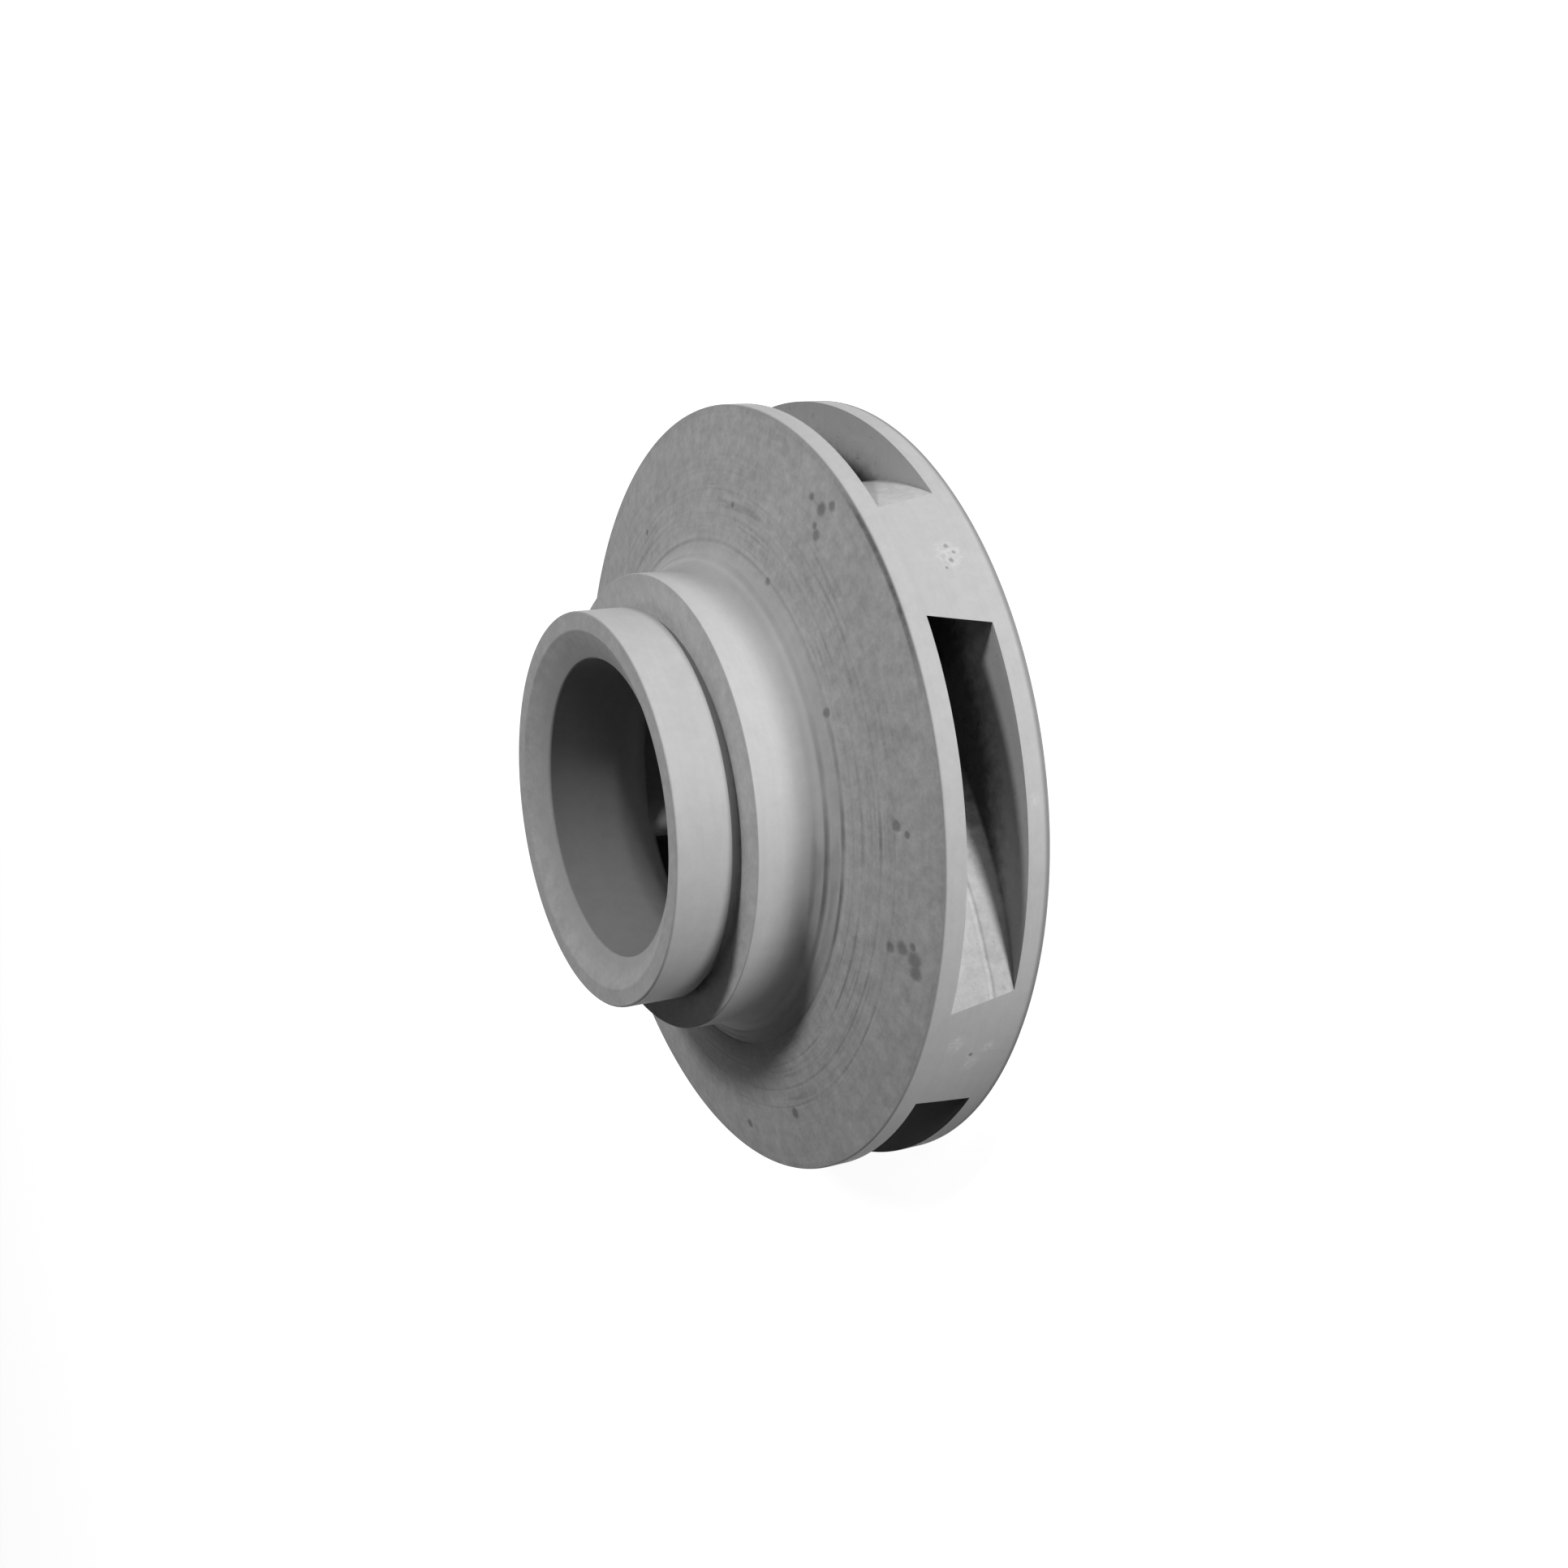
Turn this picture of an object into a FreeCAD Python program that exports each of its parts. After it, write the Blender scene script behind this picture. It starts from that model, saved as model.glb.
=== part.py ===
import FreeCAD, Part
import math
import os
import Sketcher

# Closed centrifugal pump impeller, one casting, turned on its outside.
# It lies on its back face: Z is the shaft axis, the suction eye looks up, and the origin is the
# middle of the back face. The first vane ends at the rim on the +X side.

doc = FreeCAD.newDocument("pump_impeller")

# Driving dimensions, in millimetres and degrees.
sizes = (
    ("rim_diameter", 174.0, "outside diameter of back plate and front shroud"),
    ("plate_wall", 5.7, "back plate at the rim"),
    ("outlet_width", 14.4, "water passage at the rim"),
    ("shroud_wall", 4.7, "front shroud at the rim"),
    ("shroud_slope", 10.8, "rise of the shroud towards the eye"),
    ("rim_chamfer", 0.8, "rear edge of the rim"),
    ("collar_step", 7.2, "collar between shroud and neck, proud of the neck"),
    ("collar_height", 46.8, "annular face of the step above the back face"),
    ("collar_fillet", 8.5, "step into the shroud"),
    ("neck_diameter", 87.8, "running surface in the wear ring"),
    ("neck_wall", 10.7, "neck from its running surface to the eye"),
    ("overall_height", 61.6, "back face to neck face"),
    ("neck_chamfer", 0.5, "front edge of the neck"),
    ("relief_width", 2.2, "groove at the root of the neck"),
    ("relief_depth", 1.6, "groove at the root of the neck"),
    ("lead_width", 6.6, "inlet bevel, square to the axis"),
    ("lead_depth", 3.6, "inlet bevel along the axis"),
    ("eye_elbow", 14.0, "turn from the eye into the passages"),
    ("hub_wall", 8.0, "hub nose round the shaft bore"),
    ("hub_height", 30.0, "hub nose above the back face"),
    ("hub_chamfer", 1.5, "edge of the hub nose"),
    ("hub_land", 2.8, "straight wall of the hub nose, above its turn onto the back plate"),
    ("shaft_diameter", 28.0, "shaft bore"),
    ("shaft_lead", 1.0, "chamfer at both ends of the bore"),
    ("key_width", 8.0, "keyway"),
    ("key_height", 31.3, "keyway floor from the far wall of the bore"),
    ("vane_count", 5, "vanes between the plates"),
    ("vane_land", 21.5, "share of the rim that one vane end takes at the back plate"),
    ("vane_draft", 5.0, "lean of each vane wall towards the shroud"),
    ("vane_outer_outlet", 24.5, "outer wall of the vane against the rim"),
    ("vane_outer_inlet", 2.0, "outer wall of the vane against a circle at the nose"),
    ("vane_inner_outlet", 27.5, "inner wall of the vane against the rim"),
    ("vane_inner_inlet", 23.5, "inner wall of the vane against a circle at the nose"),
    ("vane_nose", 40.5, "middle of the vane's round nose from the axis"),
    ("cut_margin", 5.0, "how far the core stands out of the casting"),
)

sheet = doc.addObject("Spreadsheet::Sheet", "Sizes")
for row, (alias, value, note) in enumerate(sizes, start=1):
    sheet.set(f"A{row}", note)
    sheet.set(f"B{row}", str(value))
    sheet.setAlias(f"B{row}", alias)
doc.recompute()

# Radii and heights that follow from the driving dimensions.
rim = "Sizes.rim_diameter / 2"
neck = "Sizes.neck_diameter / 2"
collar = f"{neck} + Sizes.collar_step"
relief = f"{neck} - Sizes.relief_depth"
eye = f"{neck} - Sizes.neck_wall"
shaft = "Sizes.shaft_diameter / 2"
hub = f"{shaft} + Sizes.hub_wall"
core_rim = "Sizes.rim_diameter / 2 + Sizes.cut_margin"
vane_end = "Sizes.rim_diameter / 2 + 2 * Sizes.cut_margin"
neck_face = "Sizes.overall_height"
passage_top = "Sizes.plate_wall + Sizes.outlet_width"
relief_top = "Sizes.collar_height + Sizes.relief_width"
lead_slope = "Sizes.lead_width / Sizes.lead_depth"
hub_elbow = "Sizes.hub_height - Sizes.hub_chamfer - Sizes.hub_land - Sizes.plate_wall"


def shroud_outside(radius):
    return f"{passage_top} + Sizes.shroud_wall + ({rim} - ({radius})) * tan(Sizes.shroud_slope)"


def shroud_inside(radius):
    return f"{passage_top} + ({rim} - ({radius})) * tan(Sizes.shroud_slope)"


def worth(expression):
    return float(sheet.evalExpression(expression))


def origin_plane(body, role):
    return next(item for item in body.Origin.OriginFeatures if item.Role == role)


def new_body(label):
    body = doc.addObject("PartDesign::Body", label)
    body.Label = label
    return body


def new_sketch(body, label, role, level="0"):
    sketch = body.newObject("Sketcher::SketchObject", label)
    sketch.AttachmentSupport = [(origin_plane(body, role), "")]
    sketch.MapMode = "FlatFace"
    sketch.setExpression("AttachmentOffset.Base.z", level)
    return sketch


def bind(sketch, constraint, name, expression):
    index = sketch.addConstraint(constraint)
    sketch.renameConstraint(index, name)
    sketch.setExpression(f"Constraints.{name}", expression)


# Places one point of a sketch by its two coordinates. A coordinate of "0" puts it on the axis.
def place(sketch, line, end, name, across, up):
    if across == "0":
        sketch.addConstraint(Sketcher.Constraint("PointOnObject", line, end, -2))
    else:
        bind(sketch, Sketcher.Constraint("DistanceX", line, end, worth(across)), f"{name}_x", across)
    if up == "0":
        sketch.addConstraint(Sketcher.Constraint("PointOnObject", line, end, -1))
    else:
        bind(sketch, Sketcher.Constraint("DistanceY", line, end, worth(up)), f"{name}_y", up)


# Rounds the corner at the end of a line. The corner's own point stays, so it keeps its place.
def round_corner(sketch, line, name, radius):
    sketch.fillet(line, 2, worth(radius), True, True)
    arc = sketch.GeometryCount - 2
    bind(sketch, Sketcher.Constraint("Radius", arc, worth(radius)), f"{name}_round", radius)


# Closed outline of straight lines through named corners, some of them rounded.
def outline(sketch, corners, rounds=()):
    points = [FreeCAD.Vector(worth(across), worth(up), 0) for _, across, up in corners]
    lines = []
    for start, finish in zip(points, points[1:] + points[:1]):
        lines.append(sketch.addGeometry(Part.LineSegment(start, finish), False))
    for line, following in zip(lines, lines[1:] + lines[:1]):
        sketch.addConstraint(Sketcher.Constraint("Coincident", line, 2, following, 1))
    for line, (name, across, up) in zip(lines, corners):
        place(sketch, line, 1, name, across, up)
    names = [name for name, _, _ in corners]
    for name, radius in rounds:
        round_corner(sketch, lines[names.index(name) - 1], name, radius)


def revolve(body, label, sketch):
    turned = body.newObject("PartDesign::Revolution", label)
    turned.Profile = sketch
    turned.ReferenceAxis = (sketch, ["V_Axis"])
    turned.Angle = 360.0
    doc.recompute()


# Name of the round edge of a feature that has this radius and height.
def ring_edge(feature, radius, height):
    slack = 1e-4
    for number, edge in enumerate(feature.Shape.Edges, start=1):
        curve = edge.Curve
        if not isinstance(curve, Part.Circle):
            continue
        if abs(curve.Radius - worth(radius)) < slack and abs(curve.Center.z - worth(height)) < slack:
            return f"Edge{number}"
    raise ValueError(f"{feature.Label} has no round edge at {radius}, {height}")


def break_edge(body, label, radius, height, size):
    base = body.Tip
    chamfer = body.newObject("PartDesign::Chamfer", label)
    chamfer.Base = (base, [ring_edge(base, radius, height)])
    chamfer.setExpression("Size", size)
    doc.recompute()


# The casting without its water passages: turned outside, shaft bore and keyway.
casting = new_body("casting")
section = new_sketch(casting, "outside_section", "XZ_Plane")
outline(section, (
    ("back_inner", f"{shaft} + Sizes.shaft_lead", "0"),
    ("back_outer", rim, "0"),
    ("rim_front", rim, shroud_outside(rim)),
    ("collar_root", collar, shroud_outside(collar)),
    ("collar_edge", collar, "Sizes.collar_height"),
    ("relief_foot", relief, "Sizes.collar_height"),
    ("relief_head", relief, relief_top),
    ("neck_root", neck, relief_top),
    ("neck_edge", neck, neck_face),
    ("face_inner", shaft, neck_face),
    ("bore_back", shaft, "Sizes.shaft_lead"),
), rounds=[("collar_root", "Sizes.collar_fillet")])
revolve(casting, "turned_outside", section)
break_edge(casting, "neck_edge_break", neck, neck_face, "Sizes.neck_chamfer")
break_edge(casting, "rim_edge_break", rim, "0", "Sizes.rim_chamfer")

# The keyway is cut from the back face through the hub, a quarter turn on from the first vane.
key = new_sketch(casting, "keyway_outline", "XY_Plane")
key_floor = "Sizes.key_height - Sizes.shaft_diameter / 2"
outline(key, (
    ("near_left", "-Sizes.key_width / 2", "0"),
    ("far_left", "-Sizes.key_width / 2", key_floor),
    ("far_right", "Sizes.key_width / 2", key_floor),
    ("near_right", "Sizes.key_width / 2", "0"),
))
before_key = casting.Tip.Shape.Volume
keyway = casting.newObject("PartDesign::Pocket", "keyway")
keyway.Profile = key
keyway.Type = 1
keyway.Reversed = True
doc.recompute()
if not keyway.Shape.Volume < before_key:
    raise ValueError("the keyway cuts nothing")

# The water core: the eye, the turn round the hub and the ring between the plates.
core = new_body("water_core")
water = new_sketch(core, "water_section", "XZ_Plane")
outline(water, (
    ("axis_low", "0", "Sizes.hub_height - Sizes.shaft_lead"),
    ("bore_low", shaft, "Sizes.hub_height - Sizes.shaft_lead"),
    ("bore_high", f"{shaft} + Sizes.shaft_lead", "Sizes.hub_height"),
    ("nose_edge", f"{hub} - Sizes.hub_chamfer", "Sizes.hub_height"),
    ("hub_edge", hub, "Sizes.hub_height - Sizes.hub_chamfer"),
    ("hub_root", hub, "Sizes.plate_wall"),
    ("outlet_low", core_rim, "Sizes.plate_wall"),
    ("outlet_high", core_rim, shroud_inside(core_rim)),
    ("elbow", eye, shroud_inside(eye)),
    ("eye_mouth", eye, f"{neck_face} - Sizes.lead_depth"),
    ("lead_mouth", f"{eye} + Sizes.lead_width + Sizes.cut_margin * {lead_slope}",
     f"{neck_face} + Sizes.cut_margin"),
    ("axis_high", "0", f"{neck_face} + Sizes.cut_margin"),
), rounds=[("elbow", "Sizes.eye_elbow"), ("hub_root", hub_elbow)])
revolve(core, "water_ring", water)

# A vane stands on the back plate and tapers towards the shroud. Its foot is two arcs from the rim to
# a round nose. Each arc crosses the rim at half the vane end from its middle. Its radius follows from
# its two angles, one to the rim and one to the circle through the nose.
half_land = "Sizes.vane_land / 2"
elbow_middle = f"{eye} + Sizes.eye_elbow"
vane_top = f"{shroud_inside(elbow_middle)} + Sizes.eye_elbow / cos(Sizes.shroud_slope)"


def arc_radius(outlet, inlet):
    reach = f"({rim} * {rim} - Sizes.vane_nose * Sizes.vane_nose)"
    return f"({reach} / 2 / ({rim} * cos({outlet}) - Sizes.vane_nose * cos({inlet})))"


# Centre of a vane arc. side is 1 for the outer wall and -1 for the inner wall.
def arc_centre(side, angle, arc):
    inward = f"({rim} - {arc} * cos({angle}))"
    along = f"({arc} * sin({angle}))"
    turn = f"({side} * {half_land})"
    across = f"{inward} * cos{turn} + {along} * sin{turn}"
    up = f"{inward} * sin{turn} - {along} * cos{turn}"
    return across, up


def polar(reach, bearing):
    return FreeCAD.Vector(reach * math.cos(bearing), reach * math.sin(bearing), 0)


# Bearing at which the circle of a vane wall is this far from the axis.
def wall_bearing(middle, arc, reach):
    offset = middle.Length
    turn = math.acos((reach ** 2 + offset ** 2 - arc ** 2) / (2 * reach * offset))
    return math.atan2(middle.y, middle.x) + turn


# One wall of a vane: the expressions of its arc, and the arc as it stands.
def vane_wall(name, side):
    outlet = f"Sizes.vane_{name}_outlet"
    arc = arc_radius(outlet, f"Sizes.vane_{name}_inlet")
    across, up = arc_centre(side, outlet, arc)
    middle = FreeCAD.Vector(worth(across), worth(up), 0)
    return {"name": name, "arc": arc, "across": across, "up": up, "middle": middle, "radius": worth(arc)}


# The nose touches both walls, so its middle is as far from one as from the other. The bearing
# between the walls is halved until it is.
def nose_middle(outer, inner, reach):
    halvings = 50
    near_outer = wall_bearing(outer["middle"], outer["radius"], reach)
    near_inner = wall_bearing(inner["middle"], inner["radius"], reach)
    for _ in range(halvings):
        bearing = (near_outer + near_inner) / 2
        middle = polar(reach, bearing)
        to_outer = outer["radius"] - (middle - outer["middle"]).Length
        to_inner = (middle - inner["middle"]).Length - inner["radius"]
        if to_outer > to_inner:
            near_inner = bearing
        else:
            near_outer = bearing
    return middle, to_outer


def add_arc(sketch, middle, radius, start, finish):
    bearings = [math.atan2(point.y - middle.y, point.x - middle.x) for point in (start, finish)]
    circle = Part.Circle(middle, FreeCAD.Vector(0, 0, 1), radius)
    return sketch.addGeometry(Part.ArcOfCircle(circle, *bearings), False)


# Draws a wall from beyond the rim to the point where it touches the nose.
def draw_wall(sketch, wall, nose):
    start = polar(worth(vane_end), wall_bearing(wall["middle"], wall["radius"], worth(vane_end)))
    finish = wall["middle"] + (nose - wall["middle"]).normalize() * wall["radius"]
    line = add_arc(sketch, wall["middle"], wall["radius"], start, finish)
    place(sketch, line, 3, f"{wall['name']}_middle", wall["across"], wall["up"])
    bind(sketch, Sketcher.Constraint("Radius", line, wall["radius"]), f"{wall['name']}_arc", wall["arc"])
    reach = Sketcher.Constraint("Distance", line, 1, -1, 1, worth(vane_end))
    bind(sketch, reach, f"{wall['name']}_reach", vane_end)
    return line, start, finish


# The vane's foot: outer wall, round nose, inner wall and a line across beyond the rim.
def vane_foot(body):
    sketch = new_sketch(body, "vane_foot", "XY_Plane", "Sizes.plate_wall")
    outer = vane_wall("outer", 1)
    inner = vane_wall("inner", -1)
    nose, nose_radius = nose_middle(outer, inner, worth("Sizes.vane_nose"))
    outer_line, outer_start, outer_finish = draw_wall(sketch, outer, nose)
    inner_line, inner_start, inner_finish = draw_wall(sketch, inner, nose)
    tip = add_arc(sketch, nose, nose_radius, outer_finish, inner_finish)
    closing = sketch.addGeometry(Part.LineSegment(inner_start, outer_start), False)
    sketch.addConstraint(Sketcher.Constraint("Tangent", outer_line, 2, tip, 1))
    sketch.addConstraint(Sketcher.Constraint("Tangent", tip, 2, inner_line, 2))
    sketch.addConstraint(Sketcher.Constraint("Coincident", inner_line, 1, closing, 1))
    sketch.addConstraint(Sketcher.Constraint("Coincident", closing, 2, outer_line, 1))
    reach = Sketcher.Constraint("Distance", tip, 3, -1, 1, worth("Sizes.vane_nose"))
    bind(sketch, reach, "nose_reach", "Sizes.vane_nose")
    doc.recompute()
    return sketch


# The vane is as high as the eye's elbow. Its curved walls lean together from the foot up.
vanes = new_body("vanes")
vanes.AllowCompound = True
foot = vane_foot(vanes)
vane = vanes.newObject("PartDesign::Pad", "vane")
vane.Profile = foot
vane.setExpression("Length", f"{vane_top} - Sizes.plate_wall")
doc.recompute()
walls = []
for number, face in enumerate(vane.Shape.Faces, start=1):
    if isinstance(face.Surface, Part.Cylinder):
        walls.append(f"Face{number}")
lean = vanes.newObject("PartDesign::Draft", "vane_lean")
lean.Base = (vane, walls)
lean.NeutralPlane = (foot, [""])
lean.setExpression("Angle", "Sizes.vane_draft")
doc.recompute()
if not lean.Shape.Volume < vane.Shape.Volume:
    raise ValueError("the vane doesn't taper")
ring = vanes.newObject("PartDesign::PolarPattern", "vane_ring")
ring.TransformMode = "Whole shape"
ring.Axis = (origin_plane(vanes, "Z_Axis"), [""])
ring.Angle = 360
ring.setExpression("Occurrences", "Sizes.vane_count")
vanes.Tip = ring
doc.recompute()

# The vanes are left standing in the water core, and what is left of it is taken out of the casting.
passages = doc.addObject("Part::Cut", "passages")
passages.Base = core
passages.Tool = vanes
impeller = doc.addObject("Part::Cut", "impeller")
impeller.Label = "impeller"
impeller.Base = casting
impeller.Tool = passages
doc.recompute()

# Nothing is written unless every step of the model is sound.
for item in doc.Objects:
    if "Invalid" in item.State or "Error" in item.State:
        raise ValueError(f"{item.Label} failed: {item.State}")
if impeller.Shape.isNull() or not impeller.Shape.isValid() or len(impeller.Shape.Solids) != 1:
    raise ValueError("the impeller isn't one sound solid")

os.makedirs("parts", exist_ok=True)
impeller.Shape.exportStep(f"parts/{impeller.Label}.step")
print(impeller.Label, round(impeller.Shape.Volume / 1000, 1), "cm3", impeller.Shape.BoundBox)
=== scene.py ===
import math

import bmesh
import bpy
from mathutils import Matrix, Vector


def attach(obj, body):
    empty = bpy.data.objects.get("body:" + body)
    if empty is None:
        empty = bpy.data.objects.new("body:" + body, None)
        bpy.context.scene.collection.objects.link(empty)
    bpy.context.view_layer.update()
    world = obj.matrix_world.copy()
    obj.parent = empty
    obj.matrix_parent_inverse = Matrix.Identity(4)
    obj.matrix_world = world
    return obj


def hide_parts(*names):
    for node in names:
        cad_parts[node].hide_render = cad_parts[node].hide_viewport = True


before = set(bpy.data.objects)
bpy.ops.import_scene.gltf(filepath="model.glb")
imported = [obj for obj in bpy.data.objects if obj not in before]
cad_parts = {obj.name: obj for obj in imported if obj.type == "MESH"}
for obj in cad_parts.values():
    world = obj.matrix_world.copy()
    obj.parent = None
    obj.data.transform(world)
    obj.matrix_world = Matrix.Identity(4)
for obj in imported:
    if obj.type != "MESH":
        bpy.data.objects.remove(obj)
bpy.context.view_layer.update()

mm = 0.001

# Everything turned shares these steps, so rings meet at the same points where one cuts another.
# The half step keeps the corners of the vanes off the points.
lathe = {"steps": 240, "halfStep": math.radians(0.75)}


def clearSelection():
    if bpy.context.object and bpy.context.object.mode != "OBJECT":
        bpy.ops.object.mode_set(mode="OBJECT")
    bpy.ops.object.select_all(action="DESELECT")


def radiusOf(place):
    return math.hypot(place.x, place.y) / mm


def chooseEdges(test):      # test looks at the radius and height of both ends, in mm
    bpy.ops.mesh.select_mode(type="EDGE")
    bpy.ops.mesh.select_all(action="DESELECT")
    mesh = bpy.context.object.data
    shape = bmesh.from_edit_mesh(mesh)
    for edge in shape.edges:
        if all(test(radiusOf(vert.co), vert.co.z / mm) for vert in edge.verts):
            edge.select_set(True)
    bmesh.update_edit_mesh(mesh)


def chooseFaces(test):      # test looks at the middle of the face, in mm
    bpy.ops.mesh.select_mode(type="FACE")
    bpy.ops.mesh.select_all(action="DESELECT")
    mesh = bpy.context.object.data
    shape = bmesh.from_edit_mesh(mesh)
    for face in shape.faces:
        face.select_set(test(face.calc_center_median() / mm))
    bmesh.update_edit_mesh(mesh)


def chooseTopFace():
    bpy.ops.mesh.select_mode(type="FACE")
    bpy.ops.mesh.select_all(action="DESELECT")
    mesh = bpy.context.object.data
    shape = bmesh.from_edit_mesh(mesh)
    top = max(shape.faces, key=lambda face: (face.calc_center_median().z, len(face.verts)))
    top.select_set(True)
    bmesh.update_edit_mesh(mesh)


def roundRing(radius, level, width, segments):
    slack = 0.02
    chooseEdges(lambda r, z: abs(r - radius) < slack and abs(z - level) < slack)
    bpy.ops.mesh.bevel(offset_type="OFFSET", offset=width * mm, segments=segments, profile=0.5,
                       affect="EDGES", clamp_overlap=False)


def scoreRing(radius, depth):      # presses the turned ring nearest to this radius down
    slack = 0.02
    shape = bmesh.from_edit_mesh(bpy.context.object.data)
    rings = [radiusOf(vert.co) for vert in shape.verts if vert.co.z / mm > casting["plate"]]
    nearest = min(rings, key=lambda ring: abs(ring - radius))
    chooseEdges(lambda r, z: abs(r - nearest) < slack and z > casting["plate"])
    bpy.ops.transform.translate(value=(0, 0, -depth * mm))


# Corners are (radius, height) in mm, from the bottom cap to the top cap. Each round names the ring it
# is on, its width and its segments.
def turnSolid(name, corners, rounds):
    clearSelection()
    (lowRadius, lowLevel), (radius, level) = corners[:2]
    bpy.ops.mesh.primitive_cone_add(vertices=lathe["steps"], radius1=lowRadius * mm, radius2=radius * mm,
                                    depth=(level - lowLevel) * mm,
                                    location=(0, 0, (level + lowLevel) / 2 * mm),
                                    rotation=(0, 0, lathe["halfStep"]))
    bpy.ops.object.transform_apply(location=True, rotation=True, scale=True)
    solid = bpy.context.object
    solid.name = solid.data.name = name
    bpy.ops.object.mode_set(mode="EDIT")
    chooseTopFace()
    for nextRadius, nextLevel in corners[2:]:
        bpy.ops.mesh.extrude_region_move(
            TRANSFORM_OT_translate={"value": (0, 0, (nextLevel - level) * mm)})
        grow = nextRadius / radius
        bpy.ops.transform.resize(value=(grow, grow, 1), center_override=(0, 0, nextLevel * mm))
        radius, level = nextRadius, nextLevel
    for radius, level, width, segments in rounds:
        roundRing(radius, level, width, segments)
    bpy.ops.mesh.select_all(action="SELECT")
    bpy.ops.mesh.normals_make_consistent(inside=False)
    return solid


def cut(solid, tool):
    clearSelection()
    solid.select_set(True)
    bpy.context.view_layer.objects.active = solid
    trim = solid.modifiers.new("cut", "BOOLEAN")
    trim.operation = "DIFFERENCE"
    trim.solver = "EXACT"
    trim.object = tool
    bpy.ops.object.modifier_apply(modifier=trim.name)
    bpy.data.objects.remove(tool)


# The casting's outside, as it comes off the lathe.
casting = {
    "rim": 86.98,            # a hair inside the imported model, whose round edges are flats too
    "plate": 5.7,
    "outlet": 14.4,
    "shroud": 4.7,
    "slope": math.tan(math.radians(10.8)),
    "rearBreak": 0.8,
    "collar": 51.1,
    "collarLevel": 46.8,
    "collarRoot": 7.03,      # tangent length of the 8.5 mm fillet
    "relief": 42.3,
    "reliefTop": 49.0,
    "neck": 43.9,
    "height": 61.6,
    "rimRound": 0.35,
    "collarRound": 0.3,
    "reliefRound": 0.2,
    "neckFootRound": 0.15,
    "neckRound": 0.5,
    "openingBreak": 0.25,
    "mouthBreak": 0.3,
    "scores": ((54.1, 0.09), (57.3, 0.14)),      # radius and depth of two tool marks in the fillet
}


def shroudUnder(radius):
    return casting["plate"] + casting["outlet"] + (casting["rim"] - radius) * casting["slope"]


def shroudTop(radius):
    return shroudUnder(radius) + casting["shroud"]


def buildOutside():
    c = casting
    corners = [
        (c["rim"] - c["rearBreak"], 0),
        (c["rim"], c["rearBreak"]),
        (c["rim"], shroudTop(c["rim"])),
        (c["collar"], shroudTop(c["collar"])),
        (c["collar"], c["collarLevel"]),
        (c["relief"], c["collarLevel"]),
        (c["relief"], c["reliefTop"]),
        (c["neck"], c["reliefTop"]),
        (c["neck"], c["height"]),
    ]
    rounds = [
        (c["rim"], shroudTop(c["rim"]), c["rimRound"], 3),
        (c["collar"], shroudTop(c["collar"]), c["collarRoot"], 26),
        (c["collar"], c["collarLevel"], c["collarRound"], 3),
        (c["relief"], c["collarLevel"], c["collarRound"], 2),
        (c["relief"], c["reliefTop"], c["reliefRound"], 2),
        (c["neck"], c["reliefTop"], c["neckFootRound"], 2),
        (c["neck"], c["height"], c["neckRound"], 3),
    ]
    solid = turnSolid("impellerCasting", corners, rounds)
    for radius, depth in c["scores"]:
        scoreRing(radius, depth)
    bpy.ops.object.mode_set(mode="OBJECT")
    return solid


# The hollow inside: shaft bore, hub nose, the ring between the plates and the suction eye.
hollow = {
    "bore": 14.0,
    "boreBreak": 1.0,
    "hub": 22.0,
    "hubLevel": 30.0,
    "hubBreak": 1.5,
    "hubElbow": 20.0,
    "eye": 33.2,
    "eyeElbow": 11.58,       # tangent length of the 14 mm turn
    "leadWidth": 6.6,
    "leadDepth": 3.6,
    "leadRound": 0.5,
    "beyond": 5.0,           # how far the tools reach past the casting
    "keyHalf": 4.0,
    "keyFloor": 17.3,
}


def buildHollow():
    h = hollow
    outer = casting["rim"] + h["beyond"]
    lead = h["leadWidth"] / h["leadDepth"]
    leadLevel = casting["height"] - h["leadDepth"]
    corners = [
        (h["bore"] + h["boreBreak"] + h["beyond"], -h["beyond"]),
        (h["bore"], h["boreBreak"]),
        (h["bore"], h["hubLevel"] - h["boreBreak"]),
        (h["bore"] + h["boreBreak"], h["hubLevel"]),
        (h["hub"] - h["hubBreak"], h["hubLevel"]),
        (h["hub"], h["hubLevel"] - h["hubBreak"]),
        (h["hub"], casting["plate"]),
        (outer, casting["plate"]),
        (outer, shroudUnder(outer)),
        (h["eye"], shroudUnder(h["eye"])),
        (h["eye"], leadLevel),
        (h["eye"] + h["leadWidth"] + h["beyond"] * lead, casting["height"] + h["beyond"]),
    ]
    rounds = [
        (h["hub"], casting["plate"], h["hubElbow"], 18),
        (h["eye"], shroudUnder(h["eye"]), h["eyeElbow"], 16),
        (h["eye"], leadLevel, h["leadRound"], 3),
    ]
    solid = turnSolid("hollow", corners, rounds)
    bpy.ops.object.mode_set(mode="OBJECT")
    return solid


# One vane seen along the shaft: outer wall, round nose, inner wall. Each wall is an arc, in mm and
# degrees, where the vane stands on the back plate. Up from there the walls lean together.
vane = {
    "count": 5,
    "foot": 4.7,
    "top": 41.945,
    "lean": math.tan(math.radians(5)),
    "outerCentre": (22.9053, -27.9910),
    "outerRadius": 76.6161,
    "outerStart": 15.5580,
    "outerTurn": 91.5425,
    "noseCentre": (1.8471, 40.4579),
    "noseTurn": 172.1530,
    "innerCentre": (14.5596, -37.5702),
    "innerTurn": -100.7524,
    "wallSteps": 60,
    "noseSteps": 18,
}


def spinWall(centre, turn, steps):      # without a window the spin goes the other way round
    bpy.ops.mesh.spin(steps=steps, angle=-math.radians(turn), dupli=False,
                      center=(centre[0] * mm, centre[1] * mm, vane["foot"] * mm), axis=(0, 0, 1))


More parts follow.
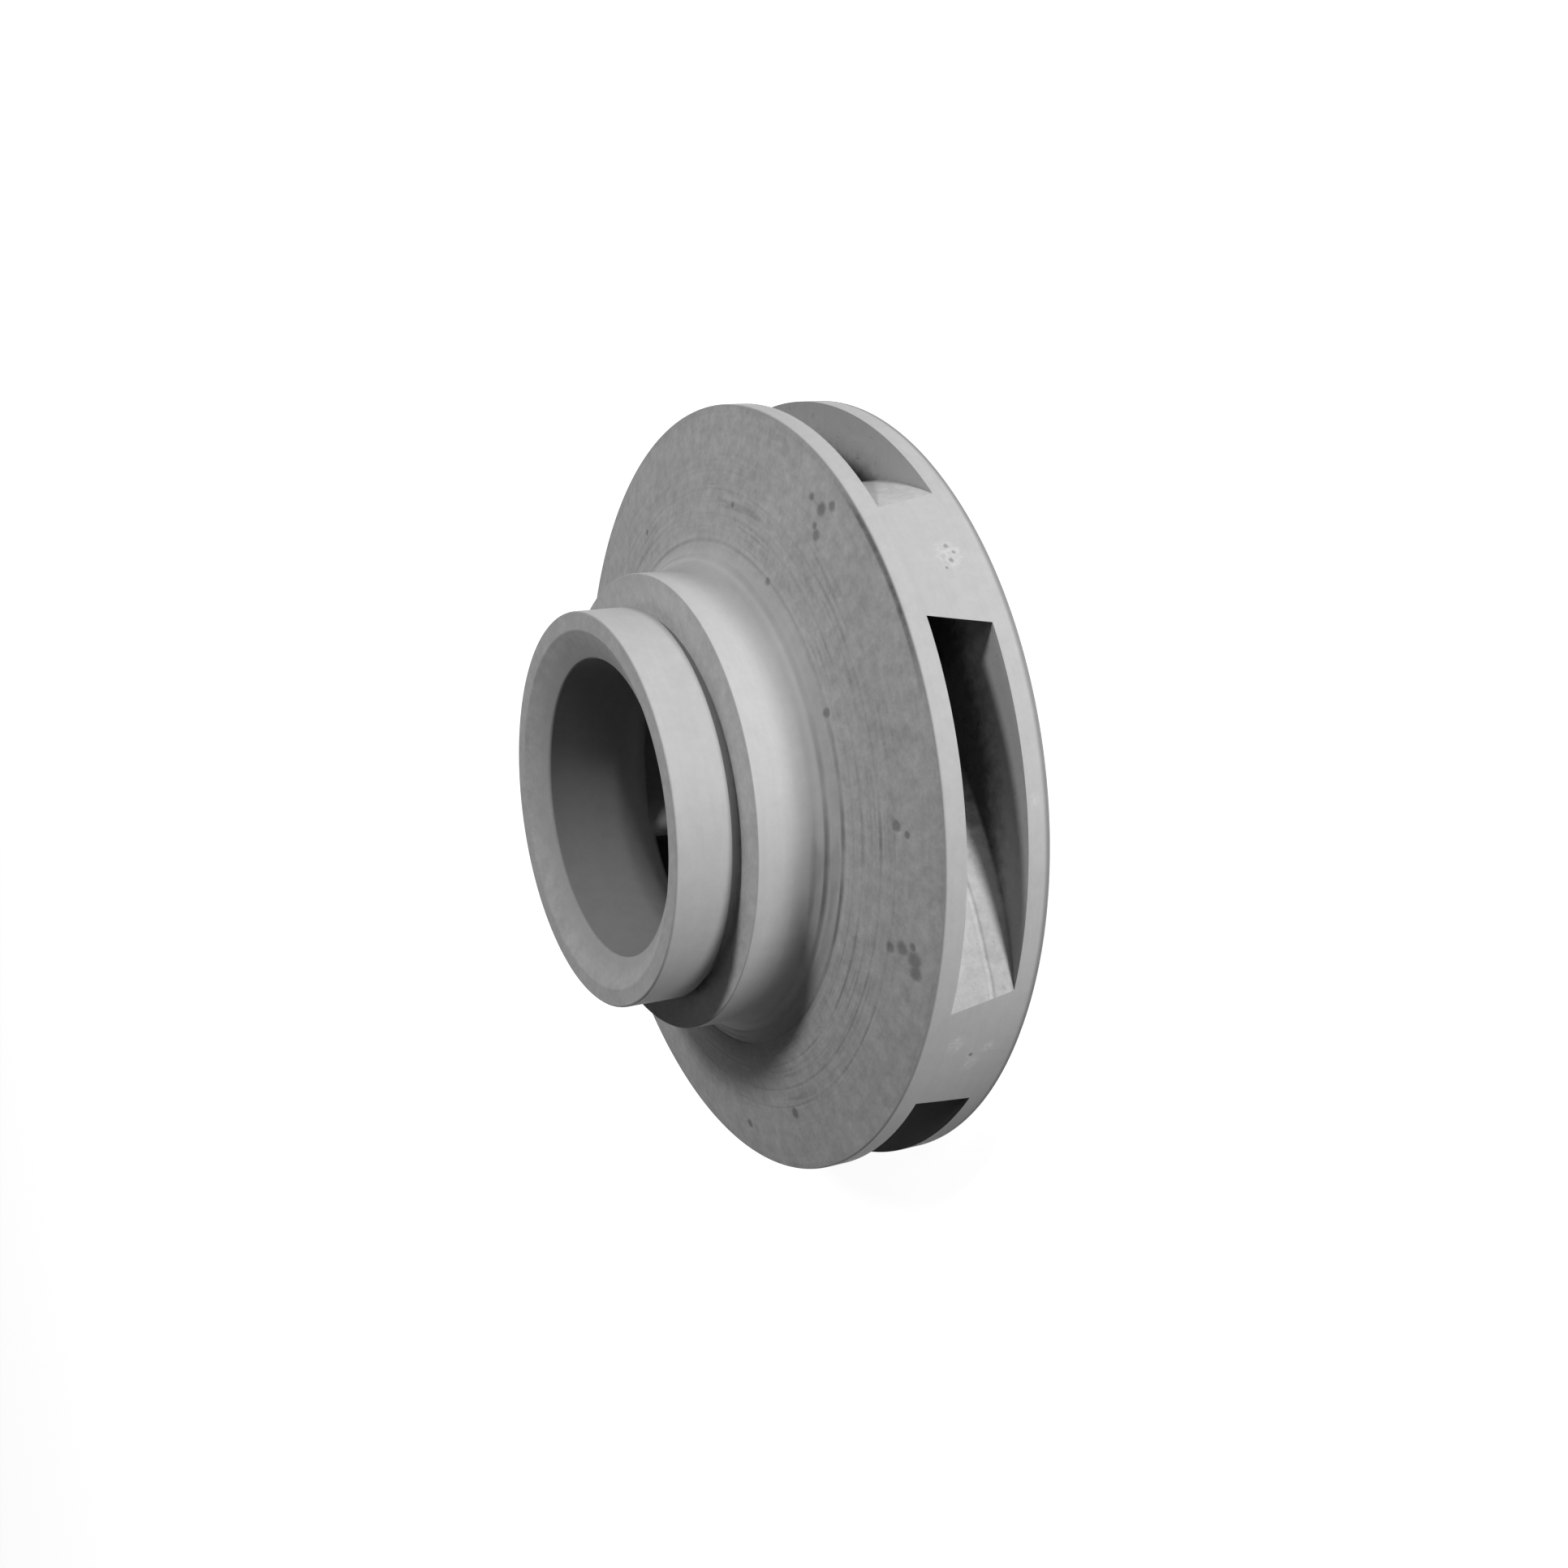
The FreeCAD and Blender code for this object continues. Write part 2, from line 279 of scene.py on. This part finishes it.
def capLevel(level):      # closes the open end of the walls at this height
    slack = 0.01
    chooseEdges(lambda r, z: abs(z - level) < slack)
    bpy.ops.mesh.edge_face_add()


def buildVanes():
    v = vane
    start = math.radians(v["outerStart"])
    outward = Vector((math.cos(start), math.sin(start), 0))
    centre = Vector((*v["outerCentre"], v["foot"]))
    foot = centre + outward * (v["outerRadius"] + (casting["plate"] - v["foot"]) * v["lean"])
    tall = v["top"] - v["foot"]
    rise = Vector((0, 0, tall)) - outward * tall * v["lean"]
    clearSelection()
    bpy.ops.mesh.primitive_plane_add(size=mm, location=foot * mm)
    bpy.ops.object.transform_apply(location=True)
    solid = bpy.context.object
    bpy.ops.object.mode_set(mode="EDIT")
    bpy.ops.mesh.select_mode(type="VERT")
    bpy.ops.mesh.select_all(action="SELECT")
    bpy.ops.mesh.merge(type="CENTER")      # one point, drawn up into the line that is spun
    bpy.ops.mesh.extrude_region_move(TRANSFORM_OT_translate={"value": rise * mm})
    bpy.ops.mesh.select_all(action="SELECT")
    spinWall(v["outerCentre"], v["outerTurn"], v["wallSteps"])
    spinWall(v["noseCentre"], v["noseTurn"], v["noseSteps"])
    spinWall(v["innerCentre"], v["innerTurn"], v["wallSteps"])
    bpy.ops.mesh.select_all(action="SELECT")
    bpy.ops.mesh.remove_doubles(threshold=0.01 * mm)
    capLevel(v["top"])
    capLevel(v["foot"])
    bpy.ops.mesh.select_non_manifold(extend=False)
    bpy.ops.mesh.edge_face_add()
    bpy.ops.mesh.select_all(action="SELECT")
    bpy.ops.mesh.normals_make_consistent(inside=False)
    for _ in range(v["count"] - 1):      # the rest are copies of the first, each a fifth of a turn on
        bpy.ops.mesh.duplicate()
        bpy.ops.transform.rotate(value=math.tau / v["count"], orient_axis="Z",
                                 center_override=(0, 0, 0))
    bpy.ops.object.mode_set(mode="OBJECT")
    return solid


def buildKey():
    h = hollow
    clearSelection()
    low, high = -h["beyond"], h["hubLevel"] + h["beyond"]
    bpy.ops.mesh.primitive_cube_add(size=1, location=(0, h["keyFloor"] / 2 * mm, (low + high) / 2 * mm),
                                    scale=(2 * h["keyHalf"] * mm, h["keyFloor"] * mm, (high - low) * mm))
    bpy.ops.object.transform_apply(location=True, scale=True)
    return bpy.context.object


def onOpeningEdge(radius, level):
    low, high = casting["plate"], shroudUnder(casting["rim"])
    return radius > casting["rim"] - 0.05 and low - 0.02 < level < high + 0.02


def onNeckMouth(radius, level):
    return abs(radius - hollow["eye"] - hollow["leadWidth"]) < 0.1 and level > casting["height"] - 0.02


def isAsCast(middle):      # the faces that the lathe didn't reach: passages, eye and foot of the hub
    c, h = casting, hollow
    near, skinDeep = 0.1, 0.5
    hubTurned = 3.0          # how far down the hub's side is turned
    elbow, underCollar = 14.0, 44.0
    radius, level = math.hypot(middle.x, middle.y), middle.z
    inKey = abs(middle.x) < h["keyHalf"] + near and 0 < middle.y < h["keyFloor"] + near
    if inKey or level < c["plate"] - near or radius > c["rim"] - near:
        return False
    if radius < h["hub"] + near:
        return radius > h["hub"] - skinDeep and level < h["hubLevel"] - hubTurned
    if radius < h["eye"] + 0.3:
        return level < c["height"] - h["leadDepth"] - 0.4
    if radius < h["eye"] + elbow:
        return level < underCollar
    return level < shroudUnder(radius) + near


impeller = buildOutside()
water = buildHollow()
cut(water, buildVanes())
cut(impeller, buildKey())
cut(impeller, water)
print("casting cut:", len(impeller.data.polygons), "faces")

clearSelection()
impeller.select_set(True)
bpy.context.view_layer.objects.active = impeller
bpy.ops.object.mode_set(mode="EDIT")
bpy.ops.mesh.select_all(action="SELECT")
bpy.ops.mesh.remove_doubles(threshold=0.005 * mm)
for onEdge, width in ((onOpeningEdge, casting["openingBreak"]), (onNeckMouth, casting["mouthBreak"])):
    chooseEdges(onEdge)
    bpy.ops.mesh.bevel(offset_type="OFFSET", offset=width * mm, segments=2, profile=0.5,
                       affect="EDGES", clamp_overlap=True)
bpy.ops.object.mode_set(mode="OBJECT")
bpy.ops.object.shade_smooth_by_angle(angle=math.radians(38))
weigh = impeller.modifiers.new("weigh", "WEIGHTED_NORMAL")
weigh.keep_sharp = True
bpy.ops.object.modifier_apply(modifier=weigh.name)
print("edges broken:", len(impeller.data.polygons), "faces")


class Value:      # a number that changes over a surface; Python's signs add its Math nodes
    def __init__(self, finish, socket):
        self.finish, self.socket = finish, socket

    def __add__(self, other):
        return self.finish.maths("ADD", self, other)

    def __radd__(self, other):
        return self.finish.maths("ADD", other, self)

    def __sub__(self, other):
        return self.finish.maths("SUBTRACT", self, other)

    def __rsub__(self, other):
        return self.finish.maths("SUBTRACT", other, self)

    def __mul__(self, other):
        return self.finish.maths("MULTIPLY", self, other)

    def __rmul__(self, other):
        return self.finish.maths("MULTIPLY", other, self)

    def __abs__(self):
        return self.finish.maths("ABSOLUTE", self)


class Finish:      # the nodes of one material, or of the world
    def __init__(self, owner):
        owner.use_nodes = True
        self.owner, self.tree = owner, owner.node_tree

    def node(self, kind, settings, sockets, output=0):
        made = self.tree.nodes.new("ShaderNode" + kind)
        for name, setting in settings.items():
            setattr(made, name, setting)
        for name, value in sockets.items():
            if isinstance(value, Value):
                self.tree.links.new(value.socket, made.inputs[name])
            else:
                made.inputs[name].default_value = value
        return Value(self, made.outputs[output])

    def maths(self, operation, *values):
        return self.node("Math", {"operation": operation}, dict(enumerate(values)))

    def measure(self):      # object coordinates in mm, and the distance from the shaft axis
        place = self.node("TexCoord", {}, {}, "Object")
        self.place = self.node("VectorMath", {"operation": "SCALE"}, {0: place, "Scale": 1 / mm})
        self.x, self.y, self.z = (self.node("SeparateXYZ", {}, {0: self.place}, axis) for axis in range(3))
        flat = self.node("CombineXYZ", {}, {0: self.x, 1: self.y})
        self.radius = self.node("VectorMath", {"operation": "LENGTH"}, {0: flat}, "Value")

    def noise(self, vector, size, detail=2.0, rough=0.5):      # size is that of one patch, in mm
        return self.node("TexNoise", {}, {"Vector": vector, "Scale": 1 / size, "Detail": detail,
                                          "Roughness": rough}) - 0.5

    def rise(self, value, low, high):      # 0 below low, 1 above high
        return self.node("MapRange", {"interpolation_type": "SMOOTHSTEP"},
                         {"Value": value, "From Min": low, "From Max": high})

    def fall(self, value, low, high):      # 1 below low, 0 above high
        return 1 - self.rise(value, low, high)

    def line(self, value, at, width):      # 1 at one value, 0 at width away from it
        return self.fall(abs(value - at), 0, width)

    def rings(self, rows):      # lines round the shaft, each with its radius, width and strength
        drawn = 0
        for at, width, strength in rows:
            drawn = self.line(self.radius, at, width) * strength + drawn
        return drawn

    def spots(self, rows, ragged):      # round spots, each with its point and size, and uneven edges
        drawn, core = 0, 0.35
        for point, size in rows:
            away = self.node("VectorMath", {"operation": "DISTANCE"}, {0: self.place, 1: point}, "Value")
            drawn = self.maths("MAXIMUM", drawn, self.fall(away + ragged, size * core, size))
        return drawn

    def feed(self, look, shade, rough, height):      # shade runs from dark 0 to light 1, height is in mm
        colour = self.node("Mix", {"data_type": "RGBA"},
                           {0: shade, 6: (*look["dark"], 1), 7: (*look["light"], 1)}, 2)
        bump = self.node("Bump", {}, {"Height": height, "Distance": mm, "Strength": 1.0})
        shader = self.tree.nodes["Principled BSDF"]
        shader.inputs["Specular IOR Level"].default_value = look["mirror"]
        for name, value in {"Base Color": colour, "Roughness": rough, "Normal": bump}.items():
            self.tree.links.new(value.socket, shader.inputs[name])

    def close(self, surface, output):
        self.tree.links.new(surface.socket, self.tree.nodes[output].inputs["Surface"])


# Skin of the turned faces. Lengths are in mm, and bearings in degrees from +X towards +Y.
turned = {
    "dark": (0.16, 0.16, 0.16),
    "light": (0.78, 0.78, 0.78),
    "mirror": 0.05,
    "tone": 0.48,            # of the way from dark to light, with what each face adds to it
    "shroudTone": 0.06,
    # painted light on the collar's round and the fillet
    "filletLight": 0.07,
    "flatTone": 0.12,
    "rimTone": -0.04,
    "cloud": (12, 3, 0.55),      # size of a patch, detail and roughness
    "mottle": (3.0, 4, 0.65),
    "grain": (0.9, 2, 0.6),
    "feed": (1.3, 3, 0.6),
    "cloudDepth": (0.08, 0.16),      # on smooth faces, and what the coarse ones add
    "mottleDepth": (0.10, 0.52),
    "grainDepth": (0.06, 0.22),
    "feedDepth": (0.08, 0.16),
    "stretch": 0.045,        # how little the feed marks change round the shaft
    "shroudFrom": (51.3, 53.0),      # radii where a face begins and where it is whole
    "shroudTo": (86.2, 86.8),        # and where it starts to end and has ended
    "neckTo": (43.2, 43.7),
    "collarTo": (50.6, 51.0),
    "filletTo": (54.0, 57.0),
    "coarseFrom": (54.0, 61.0),
    "streaksTo": (68.0, 82.0),
    "rimFrom": (86.3, 86.9),
    # where the painted shade on the rim's rear edge begins, by radius and by height
    "rearFrom": (85.5, 86.2),
    "rearLevel": (1.0, 2.1),
    "rimShade": (84.9, 85.8, 0.40),      # painted shade, a dark line inside the rim's edge: where it begins, is full, depth
    # Rings round the shaft: radius, width, depth.
    "marks": ((52.3, 0.6, 0.12), (54.1, 0.7, 0.22), (57.3, 0.7, 0.22), (60.4, 0.5, 0.06),
              (63.1, 0.6, 0.11), (65.9, 0.5, 0.05), (68.5, 0.6, 0.10), (72.6, 0.6, 0.09)),
    "sheen": ((53.2, 0.5, 0.06), (58.5, 0.6, 0.05), (64.3, 0.5, 0.03), (69.3, 0.4, 0.02)),
    # Pits on the shroud: radius, bearing, size. Those on the rim have a height for the radius.
    "pits": ((79.1, 15.2, 2.1), (79.3, 15.0, 1.0), (79.1, 18.5, 1.2), (81.7, 13.4, 1.7),
             (74.3, 13.5, 1.8), (75.4, 14.8, 1.1), (57.4, 20.2, 1.2), (57.5, 345.1, 1.4),
             (73.3, 323.0, 1.7), (76.2, 321.8, 1.1), (72.8, 302.7, 1.7), (76.2, 303.8, 2.1),
             (79.9, 303.2, 2.6), (80.7, 301.5, 2.4), (78.9, 305.0, 1.2), (74.0, 250.5, 1.8),
             (79.4, 231.0, 1.5), (66.0, 41.0, 1.0), (70.5, 120.0, 1.3), (62.0, 168.0, 1.1),
             (77.0, 196.0, 1.5), (68.0, 82.0, 0.9)),
    "rimPits": ((9.5, 1.3, 0.8), (9.8, 358.9, 0.8), (8.4, 0.2, 0.5), (11.5, 357.8, 0.5),
                (12.0, 288.3, 0.7), (13.0, 72.8, 0.8), (8.0, 141.5, 0.7), (15.0, 216.4, 0.9)),
    "rimScuffs": ((9.6, 359.9, 4.2), (3.8, 325.5, 1.6), (11.1, 286.5, 2.6), (8.0, 289.3, 2.2),
                  (16.5, 291.0, 3.0), (12.0, 145.0, 3.5)),
}


def pointAt(radius, bearing, level):
    turn = math.radians(bearing)
    return radius * math.cos(turn), radius * math.sin(turn), level


def finishTurned():
    t, c, h = turned, casting, hollow
    skin = Finish(bpy.data.materials.new("turnedIron"))
    skin.measure()

    # The faces. Those facing along the shaft are coarser than the rounds.
    shroudFace = skin.rise(skin.radius, *t["shroudFrom"]) * skin.fall(skin.radius, *t["shroudTo"])
    leadLevel = c["height"] - h["leadDepth"]
    neckFace = skin.rise(skin.z, leadLevel, c["height"] - 0.4) * skin.fall(skin.radius, *t["neckTo"])
    collarFace = skin.line(skin.z, c["collarLevel"], 0.3) * skin.fall(skin.radius, *t["collarTo"])
    flats = neckFace + collarFace
    coarse = shroudFace * skin.rise(skin.radius, *t["coarseFrom"]) * 0.8 + flats * 0.6
    # Painted light: the collar's round and the fillet below it are lighter in colour, for the light they
    # catch.
    fillet = skin.rise(skin.radius, *t["collarTo"]) * skin.fall(skin.radius, *t["filletTo"])
    # Painted shade: a dark band round the rim's rear edge, standing in for the edge turning away from the
    # light.
    rearEdgeShade = skin.fall(skin.z, *t["rearLevel"]) * skin.rise(skin.radius, *t["rearFrom"])

    # Patterns all over. Radius and height together grow across the feed marks on discs and walls.
    cloud, mottle, grain = (skin.noise(skin.place, *t[name]) for name in ("cloud", "mottle", "grain"))
    around = skin.node("CombineXYZ", {}, {0: skin.radius + skin.z, 1: skin.x * t["stretch"],
                                          2: skin.y * t["stretch"]})
    feedMarks = skin.noise(around, *t["feed"])
    worn = skin.rise(skin.noise(skin.place, 15), -0.10, 0.12)      # 0 where the marks are worn off
    streaks = (skin.rise(skin.noise(around, 1.3), 0.05, 0.17) * shroudFace
               * (1 - skin.rise(skin.radius, *t["streaksTo"]) * 0.75))
    specks = skin.noise(skin.place, 1.7, 1) + skin.noise(skin.place, 9, 1) * 0.5
    specks = skin.rise(specks, 0.26, 0.36) * coarse

    # Tool marks, deepest in the +X -Y quarter, and the painted shade line inside the rim, which is round
    # +X.
    heavy = skin.fall(skin.y, -34, -14) * skin.rise(skin.x, 8, 20) * 0.85 + 0.5
    marks = skin.rings(t["marks"]) * shroudFace * heavy * (worn * 0.6 + 0.4)
    begins, full, depth = t["rimShade"]
    rimShadeSide = skin.rise(skin.y, -30, -14) * skin.fall(skin.y, 10, 24) * skin.rise(skin.x, 0, 20)
    rimShade = skin.rise(skin.radius, begins, full) * shroudFace * (rimShadeSide * 0.88 + 0.12) * depth

    ragged = skin.noise(skin.place, 1.4) * 0.8
    onShroud = [(pointAt(radius, bearing, shroudTop(radius)), size) for radius, bearing, size in t["pits"]]
    onRim = [(pointAt(c["rim"], bearing, level), size) for level, bearing, size in t["rimPits"]]
    rubbed = [(pointAt(c["rim"], bearing, level), size) for level, bearing, size in t["rimScuffs"]]
    pits = skin.spots(onShroud + onRim, ragged)
    scuffs = skin.spots(rubbed, ragged)

    tone = (t["tone"] + shroudFace * t["shroudTone"] + skin.rise(skin.radius, *t["rimFrom"]) * t["rimTone"]
            + fillet * t["filletLight"] + flats * t["flatTone"] + skin.rings(t["sheen"]) * shroudFace)
    for pattern, name, where in ((cloud, "cloudDepth", coarse), (mottle, "mottleDepth", coarse),
                                 (grain, "grainDepth", coarse), (feedMarks, "feedDepth", shroudFace)):
        plain, more = t[name]
        tone = tone + pattern * (where * more + plain)
    tone = (tone + scuffs * (grain * 0.45 + 0.08) - marks - rimShade - specks * 0.10
            - streaks * 0.17 * (worn * 0.6 + 0.4))
    shade = tone * (1 - pits * 0.62) * (1 - rearEdgeShade * 0.72)
    rough = 0.50 + mottle * 0.15 + pits * 0.25
    height = (feedMarks * 0.015 + mottle * coarse * 0.03 + grain * 0.012
              - marks * 1.2 - streaks * 0.03 - pits * 0.12 - specks * 0.04)
    skin.feed(t, shade, rough, height)
    return skin.owner


# Skin of the water passages, as the sand left it. Near the rim they are light; further in they are
# dark with painted shade. Lengths are in mm.
asCast = {
    "dark": (0.05, 0.05, 0.05),
    "light": (0.75, 0.75, 0.75),
    "mirror": 0.05,
    "tone": 0.05,            # of the way from dark to light, with what each place adds to it
    "wallTone": 0.57,
    "plateTone": 0.46,
    "eyeTone": 0.42,
    "noseLight": 0.25,
    "cloud": (9, 3, 0.55),       # size of a patch, detail and roughness
    "mottle": (2.6, 3, 0.6),
    "grain": (0.9, 2, 0.6),
    "dimple": (1.8, 2, 0.5),
    "passageFrom": (48.0, 54.0),
    "wallFrom": (5.8, 6.8),      # heights between the back plate and the vane walls
    # radii where the painted shade inside the passages gives way to light, on the walls and on the plate
    "wallShadeEnds": (65.0, 75.0),
    "plateShadeEnds": (71.0, 81.0),
    "noseTo": (37.8, 39.6),
    "noseLevel": (34.0, 40.0),
    "seam": (10.15, 0.24),       # height where it meets the rim, and how it rises inwards
    "seamWidth": 0.55,
    "lipWidth": 0.7,
    "lipAbove": 0.9,
}


def finishAsCast():
    a = asCast
    skin = Finish(bpy.data.materials.new("castIron"))
    skin.measure()
    cloud, mottle, grain = (skin.noise(skin.place, *a[name]) for name in ("cloud", "mottle", "grain"))
    inPassage = skin.rise(skin.radius, *a["passageFrom"])
    dimple = skin.rise(skin.noise(skin.place, *a["dimple"]), 0.12, 0.26) * inPassage
    onWall = skin.rise(skin.z, *a["wallFrom"])
    # Painted shade: further in from the rim the walls and the back plate keep the dark colour, standing in
    # for the shade inside the passages.
    edge = skin.radius + mottle * 6      # the painted shade ends unevenly
    wallOutOfShade = skin.rise(edge, *a["wallShadeEnds"]) * onWall
    plateOutOfShade = skin.rise(edge, *a["plateShadeEnds"]) * (1 - onWall)
    # Painted light: the vanes' noses deep in the eye are lighter in colour, standing in for the light that
    # falls on them through the eye.
    nose = skin.fall(skin.z, *a["noseLevel"]) * skin.fall(skin.radius, *a["noseTo"])

    # Seam of the sand core along the vane walls, with a raised lip above it whose lighter colour is a
    # painted highlight.
    level, run = a["seam"]
    across = skin.z + cloud * 0.8 + (skin.radius - casting["rim"]) * run
    shown = inPassage * (1 - skin.rise(skin.y, -45, 10) * 0.8)
    seam = skin.line(across, level, a["seamWidth"]) * shown
    seamLipAndHighlight = skin.line(across, level + a["lipAbove"], a["lipWidth"]) * shown

    shade = (a["tone"] + wallOutOfShade * a["wallTone"] + plateOutOfShade * a["plateTone"]
             + (1 - inPassage) * a["eyeTone"] + nose * a["noseLight"]
             + (cloud * 0.12 + mottle * 0.22 + grain * 0.12) * (0.35 + wallOutOfShade)
             - dimple * 0.06 - seam * 0.17 + seamLipAndHighlight * 0.07)
    rough = 0.70 + mottle * 0.2
    height = (cloud * 0.08 + mottle * 0.08 * inPassage + grain * 0.03 * inPassage
              - dimple * 0.08 + seamLipAndHighlight * 0.06)
    skin.feed(a, shade, rough, height)
    return skin.owner


impeller.data.materials.clear()
impeller.data.materials.append(finishTurned())
impeller.data.materials.append(finishAsCast())
clearSelection()
impeller.select_set(True)
bpy.context.view_layer.objects.active = impeller
bpy.ops.object.mode_set(mode="EDIT")
chooseFaces(isAsCast)
impeller.active_material_index = 1
bpy.ops.object.material_slot_assign()
bpy.ops.object.mode_set(mode="OBJECT")
print("finishes on:", sum(face.material_index for face in impeller.data.polygons), "faces as cast")

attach(impeller, "root")
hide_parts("impeller")

# Camera where the photograph was taken from, rolled as the impeller stands in it.
view = {
    "place": (0.367940, -0.197768, 0.230716),      # metres
    "turn": (-14.3133, 61.5356, -44.4573),         # degrees
    "lens": 46.71,
    "sensor": 36,
    "nearest": 0.01,
}
camera = bpy.data.objects.new("camera", bpy.data.cameras.new("camera"))
bpy.context.scene.collection.objects.link(camera)
camera.location = view["place"]
camera.rotation_euler = [math.radians(turn) for turn in view["turn"]]
camera.data.lens = view["lens"]
camera.data.sensor_width = view["sensor"]
camera.data.clip_start = view["nearest"]
bpy.context.scene.camera = camera
print("camera set:", view["lens"], "mm lens")

# Soft lamps round the impeller: bearing and elevation in degrees, distance and width in metres,
# power in watts.
lamps = {
    "key": {"bearing": -16, "elevation": -16, "away": 1.5, "width": 0.3, "power": 18.6},
    "fill": {"bearing": 36, "elevation": 52, "away": 1.5, "width": 0.22, "power": 8.9},
    "top": {"bearing": 60, "elevation": 62, "away": 1.5, "width": 0.3, "power": 1.6},
    "side": {"bearing": -4, "elevation": 18, "away": 1.5, "width": 0.4, "power": 1.6},
}
for name, lamp in lamps.items():
    light = bpy.data.lights.new(name, "AREA")
    light.shape = "DISK"
    light.size = lamp["width"]
    light.energy = lamp["power"]
    stand = bpy.data.objects.new(name, light)
    bpy.context.scene.collection.objects.link(stand)
    elevation = math.radians(lamp["elevation"])
    towards = Vector(pointAt(math.cos(elevation), lamp["bearing"], math.sin(elevation)))
    stand.location = towards * lamp["away"]
    stand.rotation_euler = towards.to_track_quat("Z", "Y").to_euler()
    stand.visible_camera = False
print("lamps set:", len(lamps))

room = {"ambient": 0.0, "floorGlow": 0.95, "floorColour": 0.8, "floorSize": 6.0}
white = (1, 1, 1, 1)


def backdropRays(finish):      # 1 for what the camera sees, straight or in a reflection
    straight = finish.node("LightPath", {}, {}, "Is Camera Ray")
    mirrored = finish.node("LightPath", {}, {}, "Is Glossy Ray")
    through = finish.node("LightPath", {}, {}, "Is Transmission Ray")
    return finish.maths("MAXIMUM", finish.maths("MAXIMUM", straight, mirrored), through)


def finishFloor():
    pale = Finish(bpy.data.materials.new("paleFloor"))
    grey = (room["floorColour"],) * 3 + (1,)
    matt = pale.node("BsdfDiffuse", {}, {"Color": grey})
    glow = pale.node("Emission", {}, {"Color": white, "Strength": room["floorGlow"]})
    seen = pale.node("AddShader", {}, {0: matt, 1: glow})
    surface = pale.node("MixShader", {}, {0: backdropRays(pale), 1: matt, 2: seen})
    clear = pale.node("BsdfTransparent", {}, {})
    inShadow = pale.node("LightPath", {}, {}, "Is Shadow Ray")      # the key stands lower than the floor
    whole = pale.node("MixShader", {}, {0: inShadow, 1: surface, 2: clear})
    pale.tree.nodes.remove(pale.tree.nodes["Principled BSDF"])
    pale.close(whole, "Material Output")
    pale.owner.cycles.emission_sampling = "NONE"
    return pale.owner


clearSelection()
bpy.ops.mesh.primitive_plane_add(size=room["floorSize"])
floor = bpy.context.object
floor.name = "floor"
floor.data.materials.append(finishFloor())

air = Finish(bpy.data.worlds.new("studio"))
ambient = air.node("Background", {}, {"Color": white, "Strength": room["ambient"]})
backdrop = air.node("Background", {}, {"Color": white, "Strength": 1.0})
air.close(air.node("MixShader", {}, {0: backdropRays(air), 1: ambient, 2: backdrop}), "World Output")
bpy.context.scene.world = air.owner
bpy.context.scene.view_settings.view_transform = "Standard"
print("floor and backdrop set")
